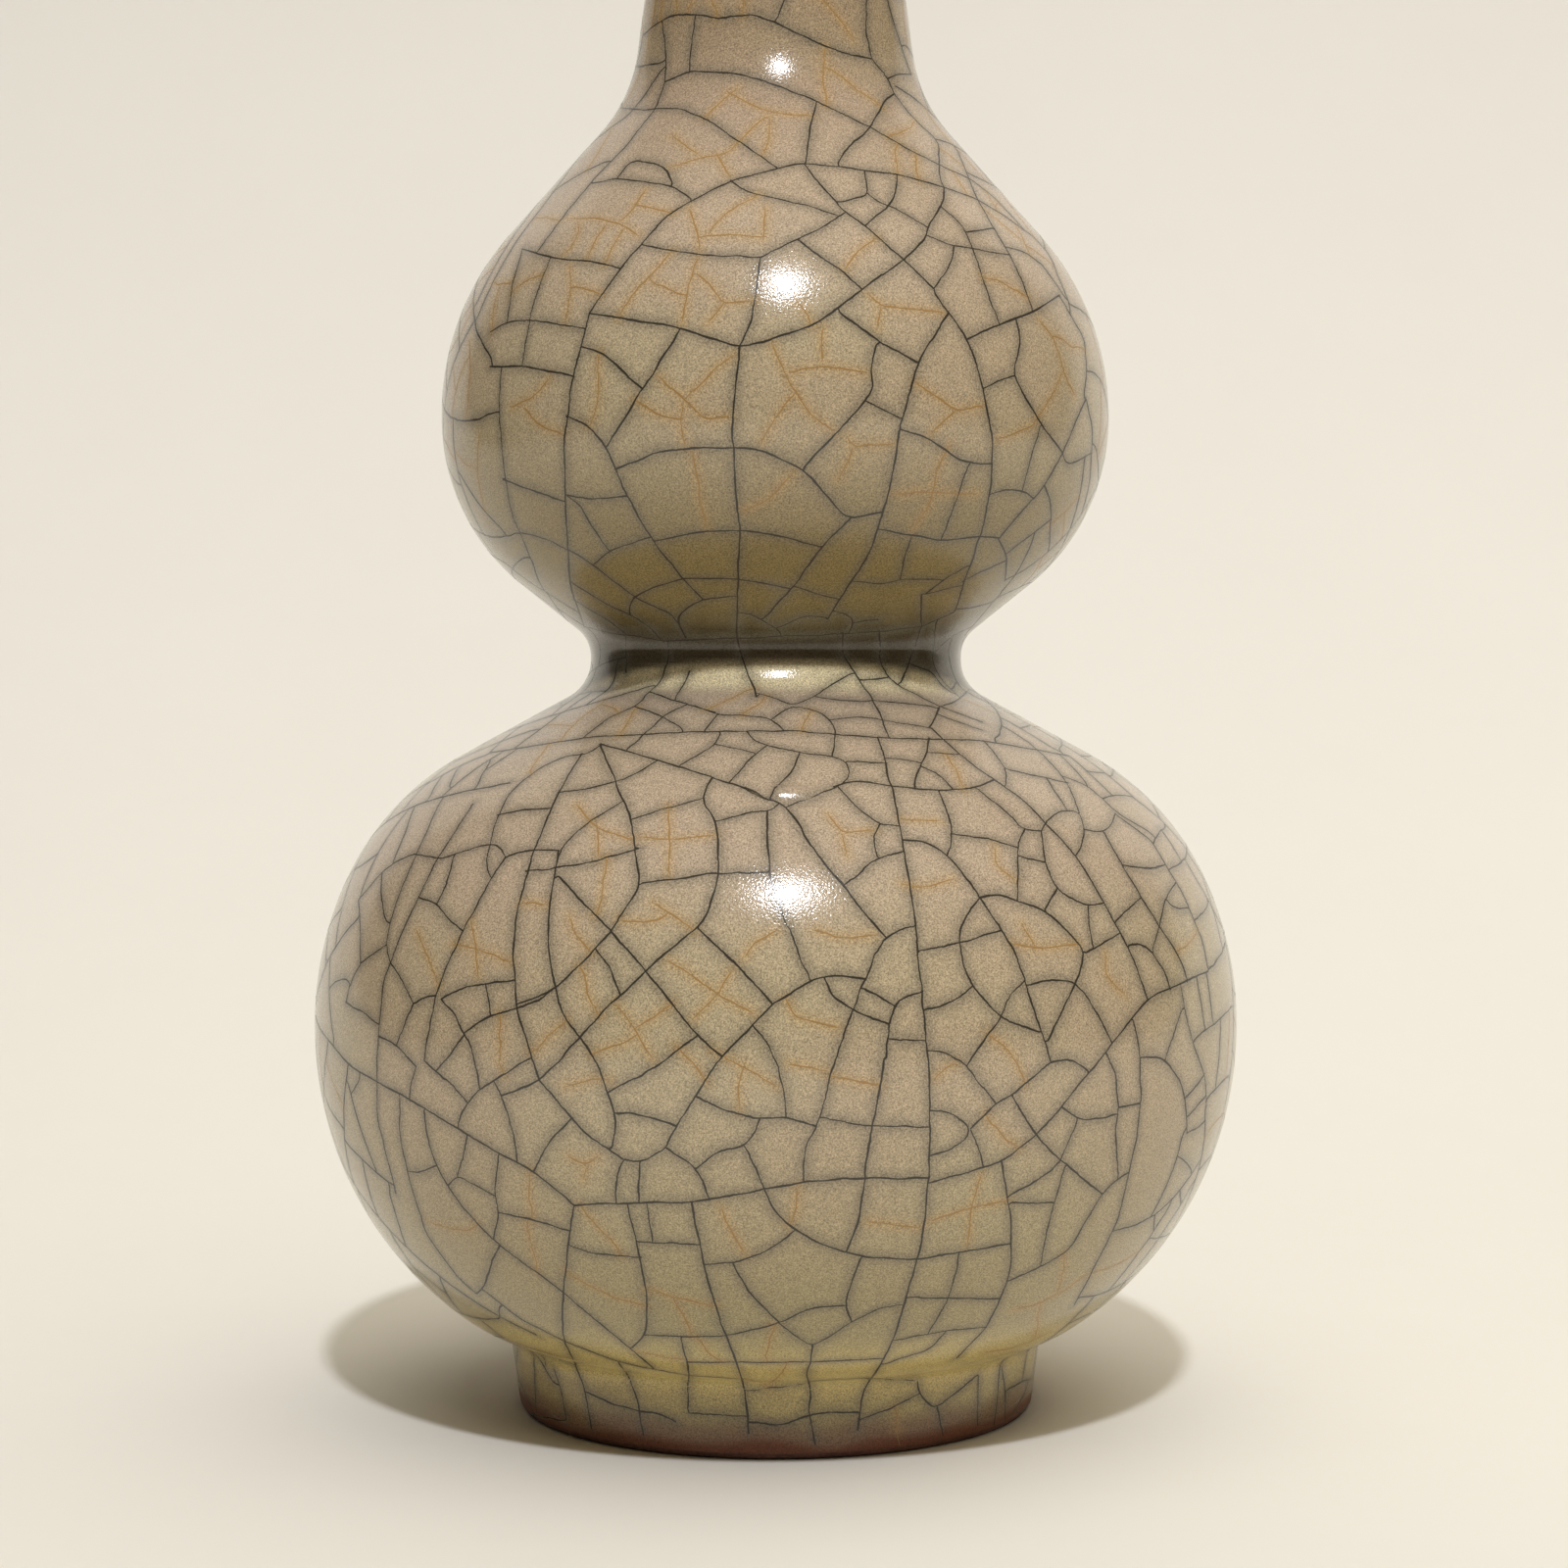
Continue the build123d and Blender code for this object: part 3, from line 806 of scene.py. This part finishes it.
def new_object(name, vertices, faces):
    """A mesh object in the scene from plain arrays, shaded smooth."""
    mesh = bpy.data.meshes.new(name)
    mesh.from_pydata(vertices.tolist(), [], faces)
    mesh.shade_smooth()
    made = bpy.data.objects.new(name, mesh)
    bpy.context.scene.collection.objects.link(made)
    return made


def ribbons(name, chosen, width, lift, taper):
    """One object with a ribbon for each chosen crack, width mm wide, narrowing over the last taper points."""
    vertices = []
    faces = []
    count = 0
    for path, strength in chosen:
        angle, along = path.T
        place = surface(angle, along, lift)
        ahead = np.gradient(place, axis=0)
        up = surface(angle, along, lift + 1.0) - place
        across = np.cross(ahead, up)
        across /= np.linalg.norm(across, axis=1)[:, None]
        n = len(path)
        steps = np.arange(n)
        wave = np.sin(steps * 0.31 + count) + np.sin(steps * 0.83 + count)
        from_end = np.minimum(steps, steps[::-1])
        half = width * MM / 2 * (0.3 + 0.7 * strength) * (1 + 0.17 * wave)
        half = half * np.clip((from_end + 1) / taper, 0, 1)
        vertices += [place - across * half[:, None], place + across * half[:, None]]
        faces += [(count + i, count + i + 1, count + n + i + 1, count + n + i) for i in range(n - 1)]
        count += 2 * n
    return new_object(name, np.concatenate(vertices), faces)


iron_wire = ribbons("iron_wire_cracks", cracks[:dark_count], width=0.24, lift=0.02, taper=1)
gold_thread = ribbons("gold_thread_cracks", cracks[dark_count:], width=0.2, lift=0.015, taper=3)
for piece in (iron_wire, gold_thread):
    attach(piece, "root")
    print(piece.name, len(piece.data.polygons), "faces")

# %% [markdown]
# ## The glaze
#
# The glaze is a fine lathe mesh: rings of points up the outline, with more points where a ring is wider, so
# the mesh is equally fine everywhere. Each point also stores how close it is to a dark crack and to a golden
# one, because the stain seeps a little into the glaze beside each crack.

# %% Turn the glaze
SPACING = 0.74


def zip_rings(lower, upper):
    """Triangles between two rings of points that hold different counts."""
    faces = []
    i = j = 0
    while i < len(lower) or j < len(upper):
        if j == len(upper) or (i < len(lower) and i * len(upper) <= j * len(lower)):
            faces.append((lower[i % len(lower)], lower[(i + 1) % len(lower)], upper[j % len(upper)]))
            i += 1
        else:
            faces.append((lower[i % len(lower)], upper[(j + 1) % len(upper)], upper[j % len(upper)]))
            j += 1
    return faces


levels = np.linspace(0, HIGH, round(HIGH / SPACING))
ring_angles = []
ring_levels = []
rings = []
total = 0
for level in levels:
    count = max(24, round(math.tau * np.interp(level, even, wall_radius) / SPACING))
    ring_angles.append(np.arange(count) * math.tau / count)
    ring_levels.append(np.full(count, level))
    rings.append(list(range(total, total + count)))
    total += count
glaze_angle = np.concatenate(ring_angles)
glaze_along = np.concatenate(ring_levels)
glaze_place = surface(glaze_angle, glaze_along)
glaze_faces = [face for low, high in zip(rings, rings[1:]) for face in zip_rings(low, high)]
glaze = new_object("outer_glaze_coat", glaze_place, glaze_faces)
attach(glaze, "root")
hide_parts("outer_glaze")
print("glaze", total, "points", len(glaze_faces), "faces")

# %% [markdown]
# ## What the glaze knows about each point
#
# A few numbers are stored on the points. Two fade with the distance from a dark crack and from a golden one.
# The others say where the fluid glaze is warm, where it pooled olive under the upper bulb, made darker there
# as painted shade, where it is olive near the foot, where it gathered yellow in the ledge above it, and where
# it ran thin, on the neck and at the foot, down to the bare edge. In the waist a pale strip of pooled glaze
# is lightened as painted light, and above it a dark band is painted shade under the upper bulb. The left side
# of the foot is darkened as painted shade. Slow noise makes the lower borders wavy, as the glaze runs.

# %% Store the stains and the flow
DARK_SHARE = 0.58
DARK_SEEP = 1.0
GOLD_SHARE = 0.42
GOLD_SEEP = 0.85


def distance_to(chosen):
    """Distance in mm from each glaze point to the nearest of the chosen cracks."""
    points = np.concatenate([surface(path[:, 0], path[:, 1]) for path, _ in chosen])
    tree = KDTree(len(points))
    for i, point in enumerate(points):
        tree.insert(point, i)
    tree.balance()
    return np.array([tree.find(point)[2] for point in glaze_place]) / MM


def store(name, values):
    """Keep one number per point on the glaze, for the material to read."""
    layer = glaze.data.attributes.new(name, "FLOAT", "POINT")
    layer.data.foreach_set("value", np.ascontiguousarray(values, dtype=np.float32))


glaze_tilt = np.interp(glaze_along, even, wall_tilt)
glaze_height = np.interp(glaze_along, even, wall_height)
runs = glaze_height + 0.5 * patchy(glaze_place / MM, size=4.0, seed=9)
store("dark_stain", DARK_SHARE * np.exp(-((distance_to(cracks[:dark_count]) / DARK_SEEP) ** 2)))
store("gold_stain", GOLD_SHARE * np.exp(-((distance_to(cracks[dark_count:]) / GOLD_SEEP) ** 2)))
store("warm", 0.7 * ease(glaze_tilt, 0.1, 0.7) * ease(glaze_height, 60, 80))
hanging = ease(-glaze_tilt, -0.1, 0.9)
# Olive pooled glaze on faces that hang, under the upper bulb, darkened there as painted shade.
store("pooled_glaze_and_shade", 0.95 * hanging * ease(glaze_height, 75, 85))
on_foot = 1 - ease(glaze_height, 8, 10)
store("olive", 0.55 * np.maximum(hanging, on_foot) * (1 - ease(glaze_height, 40, 60)))
ledge = ease(runs, 3.6, 7.0) * (1 - ease(glaze_height, 14, 21))
# The waist strip is yellow pooled glaze, lightened as painted light where the key lamp lights it.
waist = ease(glaze_height, 101, 103.5) * (1 - ease(glaze_height, 106, 108))
store("ochre", ledge * (0.85 - 0.3 * on_foot))
store("pale_glaze_and_light", 0.9 * waist)
# Painted shade: a dark band in the waist under the upper bulb, reaching lower away from the front.
waist_shade_from = 100.6 + 6 * np.clip(np.cos(glaze_angle), 0, 1)
store("waist_shade", 0.9 * ease(glaze_height, waist_shade_from, waist_shade_from + 1.6) * (1 - ease(glaze_height, 110, 116)))
# Painted shade on the left side of the foot, added to the thin glaze.
foot_left_shade = 0.35 * on_foot * np.clip(-np.sin(glaze_angle), 0, 1)
store("thin_glaze_and_shade", np.maximum(0.9 * (1 - ease(runs, 3.4, 7.0)), 0.4 * ease(glaze_height, 158, 205) + foot_left_shade))
store("bare", 1 - ease(runs, 1.4, 3.4))

# %% [markdown]
# ## Helpers for materials
#
# Colours are written as sRGB hex, the way they are picked by eye, and one function turns them into the
# linear values that the shader needs. Another adds a node, sets its values and links its inputs.

# %% Colour and node helpers


def colour(code):
    """Linear RGBA from an sRGB hex code."""
    parts = [int(code[i : i + 2], 16) / 255 for i in (1, 3, 5)]
    return tuple(c / 12.92 if c <= 0.04045 else ((c + 0.055) / 1.055) ** 2.4 for c in parts) + (1.0,)


def new_material(name):
    """An empty material with its shader, as (material, tree, shader)."""
    material = bpy.data.materials.new(name)
    material.use_nodes = True
    return material, material.node_tree, material.node_tree.nodes["Principled BSDF"]


def add(tree, kind, settings=None, out=None, **inputs):
    """Add a node, set its settings, set or link its inputs, and give back one of its outputs."""
    node = tree.nodes.new(kind)
    for key, value in (settings or {}).items():
        setattr(node, key, value)
    for key, value in inputs.items():
        socket = next(s for s in node.inputs if key in (s.identifier, s.name.replace(" ", "_")))
        if isinstance(value, bpy.types.NodeSocket):
            tree.links.new(value, socket)
        else:
            socket.default_value = value
    return node.outputs[out] if out else next(s for s in node.outputs if s.enabled)


# %% [markdown]
# ## Crackle glaze
#
# A thick feldspar glaze, fired glossy. Millions of tiny bubbles make it cloudy, so close up it is a fine
# mottle of lighter and darker grains about a fifth of a millimetre across. Where it is thin the iron in the
# clay warms it to pink and then brown, and where it pools it turns olive. Some of its colours are painted
# light and shade: the olive under the upper bulb is darkened as painted shade, the waist holds a dark band of
# painted shade and a pale strip lightened as painted light, and the foot's left side is darkened as painted
# shade. Glass has an IOR near 1.5. The bubbles also dimple the face, which spreads each highlight into a
# granular glow round a sharp core: the glow is the rough base layer, the core the smooth coat. Bare clay at
# the foot's edge is matt and has no coat.

# %% Mix the crackle glaze
COLOURS = {"data_type": "RGBA"}
SHADES = {"data_type": "RGBA", "blend_type": "MULTIPLY"}
EASED = {"interpolation_type": "SMOOTHSTEP"}
crackle, tree, shader = new_material("crackle_glaze")
where = add(tree, "ShaderNodeTexCoord", out="Object")
clouds = add(tree, "ShaderNodeTexNoise", Vector=where, Scale=1 / (28 * MM), Detail=3.0)
clouds = add(tree, "ShaderNodeMapRange", EASED, Value=clouds, From_Min=0.35, From_Max=0.65, To_Max=0.4)
base = add(
    tree, "ShaderNodeMix", COLOURS, Factor_Float=clouds, A_Color=colour("#BDAC8C"), B_Color=colour("#BEA48C")
)
LAYERS = {
    "warm": "#C3AD98",
    # Olive pooled glaze, darkened under the upper bulb as painted shade.
    "pooled_glaze_and_shade": "#8B7A4B",
    "olive": "#9C9460",
    "ochre": "#D6C07C",
    # Pale yellow pooled glaze in the waist, lightened as painted light on the lit strip.
    "pale_glaze_and_light": "#F0DFB4",
    # Painted shade: the dark band in the waist under the upper bulb.
    "waist_shade": "#3E3420",
    # Thin pink-brown glaze on the neck and foot, also painted shade on the foot's left side.
    "thin_glaze_and_shade": "#8C6C50",
    "dark_stain": "#706B5E",
    "gold_stain": "#C09A60",
    "bare": "#78462C",
}
for layer, code in LAYERS.items():
    share = add(tree, "ShaderNodeAttribute", {"attribute_name": layer}, out="Fac")
    base = add(tree, "ShaderNodeMix", COLOURS, Factor_Float=share, A_Color=base, B_Color=colour(code))
grains = add(tree, "ShaderNodeTexNoise", Vector=where, Scale=1 / (0.2 * MM), Detail=2.0, Roughness=0.6)
grains = add(
    tree, "ShaderNodeMapRange", Value=grains, From_Min=0.3, From_Max=0.7, To_Min=0.52, To_Max=1.48
)
base = add(tree, "ShaderNodeMix", SHADES, Factor_Float=1.0, A_Color=base, B_Color=grains)
tree.links.new(base, shader.inputs["Base Color"])
dimples = add(tree, "ShaderNodeTexNoise", Vector=where, Scale=1 / (0.3 * MM), Detail=2.0)
dimples = add(tree, "ShaderNodeBump", Strength=1.0, Distance=0.032 * MM, Height=dimples)
tree.links.new(dimples, shader.inputs["Normal"])
matt = add(tree, "ShaderNodeAttribute", {"attribute_name": "bare"}, out="Fac")
rough = add(tree, "ShaderNodeMapRange", Value=matt, To_Min=0.14, To_Max=0.6)
tree.links.new(rough, shader.inputs["Roughness"])
coat = add(tree, "ShaderNodeMapRange", Value=matt, To_Min=0.22, To_Max=0.0)
tree.links.new(coat, shader.inputs["Coat Weight"])
shader.inputs["IOR"].default_value = 1.5
shader.inputs["Coat Roughness"].default_value = 0.06
glaze.data.materials.append(crackle)

# %% [markdown]
# ## The stains in the cracks
#
# The wide cracks are rubbed with ink or iron, the fine ones take up a thin brown wash. Both lie under the
# same glassy face, so they shine as the glaze does.

# %% Stain the cracks


def stain(name, code):
    """A stained crack line under a glassy face whose shine varies."""
    material, tree, shader = new_material(name)
    where = add(tree, "ShaderNodeTexCoord", out="Object")
    shine = add(tree, "ShaderNodeTexNoise", Vector=where, Scale=1 / (0.5 * MM))
    shine = add(tree, "ShaderNodeMapRange", Value=shine, To_Min=0.08, To_Max=0.3)
    tree.links.new(shine, shader.inputs["Roughness"])
    shader.inputs["Base Color"].default_value = colour(code)
    shader.inputs["IOR"].default_value = 1.5
    return material


iron_wire.data.materials.append(stain("iron_wire_stain", "#443D33"))
gold_thread.data.materials.append(stain("gold_thread_stain", "#AA8654"))

# %% [markdown]
# ## Clay, slip and the other glazes
#
# Bare stoneware is matt and gritty, and iron turns it red-brown in the kiln. The clay under the glaze never
# shows, but it gets its own finish in case the part is cut open. The glaze inside and under the base is
# crackled too. It is seldom seen, so there the cracks are drawn by a Voronoi texture: the borders between its
# cells are the lines, and noise bends them.

# %% Finish the CAD pieces


def clay(name, light, dark, grit_mm):
    """Fired clay with grit of a given size."""
    material, tree, shader = new_material(name)
    where = add(tree, "ShaderNodeTexCoord", out="Object")
    grit = add(tree, "ShaderNodeTexNoise", Vector=where, Scale=1 / (grit_mm * MM), Detail=4.0)
    cloud = add(tree, "ShaderNodeTexNoise", Vector=where, Scale=1 / (12 * MM), Detail=2.0)
    both = add(tree, "ShaderNodeMath", {"operation": "ADD"}, Value=grit, Value_001=cloud)
    share = add(tree, "ShaderNodeMapRange", Value=both, From_Min=0.7, From_Max=1.3)
    mixed = add(
        tree, "ShaderNodeMix", COLOURS, Factor_Float=share, A_Color=colour(dark), B_Color=colour(light)
    )
    tree.links.new(mixed, shader.inputs["Base Color"])
    bump = add(tree, "ShaderNodeBump", Strength=0.4, Distance=0.08 * MM, Height=grit)
    tree.links.new(bump, shader.inputs["Normal"])
    shader.inputs["Roughness"].default_value = 0.75
    return material


def plain_crackle(name, light, dark):
    """A glossy glaze with a crackle that is only drawn."""
    material, tree, shader = new_material(name)
    where = add(tree, "ShaderNodeTexCoord", out="Object")
    cloud = add(tree, "ShaderNodeTexNoise", Vector=where, Scale=1 / (12 * MM), Detail=3.0)
    tone = add(
        tree, "ShaderNodeMix", COLOURS, Factor_Float=cloud, A_Color=colour(dark), B_Color=colour(light)
    )
    bends = add(tree, "ShaderNodeTexNoise", out="Color", Vector=where, Scale=1 / (8 * MM))
    bent = add(
        tree, "ShaderNodeVectorMath", {"operation": "MULTIPLY_ADD"},
        Vector=bends, Vector_001=(6 * MM, 6 * MM, 6 * MM), Vector_002=where,
    )
    border = add(
        tree, "ShaderNodeTexVoronoi", {"feature": "DISTANCE_TO_EDGE"}, Vector=bent, Scale=1 / (8 * MM)
    )
    line = add(
        tree, "ShaderNodeMapRange", Value=border, From_Min=0.01, From_Max=0.035, To_Min=0.8, To_Max=0.0
    )
    tone = add(tree, "ShaderNodeMix", COLOURS, Factor_Float=line, A_Color=tone, B_Color=colour("#5B5142"))
    tree.links.new(tone, shader.inputs["Base Color"])
    shader.inputs["Roughness"].default_value = 0.12
    shader.inputs["IOR"].default_value = 1.5
    return material


nodes = frame["nodes"]
finishes = {
    "foot_clay": clay("iron_rich_stoneware", "#7A5140", "#4A2E24", grit_mm=0.5),
    "body_clay": clay("grey_stoneware", "#8A7A66", "#6E604E", grit_mm=0.5),
    "slip": clay("fired_slip", "#8F806B", "#7C6D58", grit_mm=0.3),
    "inside_glaze": plain_crackle("inside_glaze", "#B8A988", "#A08F70"),
    "base_wash": plain_crackle("base_glaze", "#ADA07C", "#8F8164"),
}
for entry in frame["record"]["subparts"]:
    if entry["material_slot"] in finishes:
        node = nodes[entry["node"]]
        node.data.materials.clear()
        node.data.materials.append(finishes[entry["material_slot"]])

# %% [markdown]
# ## Studio
#
# The vase stands on a sheet of cream paper that sweeps up behind it. The paper is wide, so the glossy glaze
# mirrors it as pale bands at its sides.

# %% Sweep the paper
SWEEP_LEFT = -0.8
SWEEP_RIGHT = 1.05
SWEEP_FRONT = -1.0
SWEEP_BACK = 0.7
SWEEP_RADIUS = 0.5
SWEEP_TOP = 1.2
curve = [(SWEEP_FRONT, 0.0)]
for k in range(13):
    turn = math.radians(90 * k / 12)
    back = SWEEP_BACK - SWEEP_RADIUS + SWEEP_RADIUS * math.sin(turn)
    curve.append((back, SWEEP_RADIUS * (1 - math.cos(turn))))
curve.append((SWEEP_BACK, SWEEP_TOP))
sheet = np.array([(x, y, z) for y, z in curve for x in (SWEEP_LEFT, SWEEP_RIGHT)])
strips = [(2 * i, 2 * i + 1, 2 * i + 3, 2 * i + 2) for i in range(len(curve) - 1)]
paper = new_object("paper_sweep", sheet, strips)
cream, tree, shader = new_material("cream_paper")
where = add(tree, "ShaderNodeTexCoord", out="Object")
fibres = add(tree, "ShaderNodeTexNoise", Vector=where, Scale=1 / (90 * MM), Detail=8.0, Roughness=0.7)
tone = add(
    tree, "ShaderNodeMix", COLOURS, Factor_Float=fibres, A_Color=colour("#EBE6E0"), B_Color=colour("#EFEBE5")
)
tree.links.new(tone, shader.inputs["Base Color"])
shader.inputs["Roughness"].default_value = 0.9
shader.inputs["Specular IOR Level"].default_value = 0.1
paper.data.materials.append(cream)

# %% [markdown]
# ## Light
#
# One small lamp high in front gives the round highlights and the shadow close under the bulbs. A wide one
# overhead lifts the shadows, and is kept out of the reflections. The room itself is nearly dark.

# %% Light it


def lamp(name, place, aim, size, power, tint):
    """A round area lamp that points at a place."""
    data = bpy.data.lights.new(name, "AREA")
    data.shape = "DISK"
    data.size = size
    data.energy = power
    data.color = colour(tint)[:3]
    made = bpy.data.objects.new(name, data)
    made.location = place
    made.rotation_euler = (Vector(aim) - Vector(place)).to_track_quat("-Z", "Y").to_euler()
    bpy.context.scene.collection.objects.link(made)
    return made


KEY_HEIGHT = math.radians(51.6)
KEY_SIDE = math.radians(4.6)
KEY_FAR = 4.0
aim = (0, 0, 0.1)
key_place = (
    KEY_FAR * math.cos(KEY_HEIGHT) * math.sin(KEY_SIDE),
    -KEY_FAR * math.cos(KEY_HEIGHT) * math.cos(KEY_SIDE),
    aim[2] + KEY_FAR * math.sin(KEY_HEIGHT),
)
lamp("key_lamp", key_place, aim, size=0.215, power=77, tint="#F4F8FF")
ceiling = lamp("ceiling", (0.4, -0.4, 1.8), (0.35, -0.35, 0.0), size=2.8, power=30, tint="#FFF8E2")
ceiling.visible_glossy = False
world = bpy.data.worlds.new("room")
world.use_nodes = True
world.node_tree.nodes["Background"].inputs["Color"].default_value = colour("#F6F2EA")
world.node_tree.nodes["Background"].inputs["Strength"].default_value = 0.03
bpy.context.scene.world = world

# %% [markdown]
# ## Camera
#
# The camera takes the values that placed the cracks. The frame cuts off the top of the neck, as in the
# photograph.

# %% Place the camera
SENSOR = 36.0
view = bpy.data.cameras.new("camera")
view.sensor_width = SENSOR
view.lens = SENSOR * FOCAL_PIXELS / PHOTO_SIZE
view.clip_start = 0.01
camera = bpy.data.objects.new("camera", view)
camera.location = Vector(CAMERA_PLACE) * MM
camera.rotation_euler = (math.pi / 2 - CAMERA_DIP, 0, 0)
bpy.context.scene.collection.objects.link(camera)
bpy.context.scene.camera = camera
bpy.context.scene.view_settings.view_transform = "Standard"
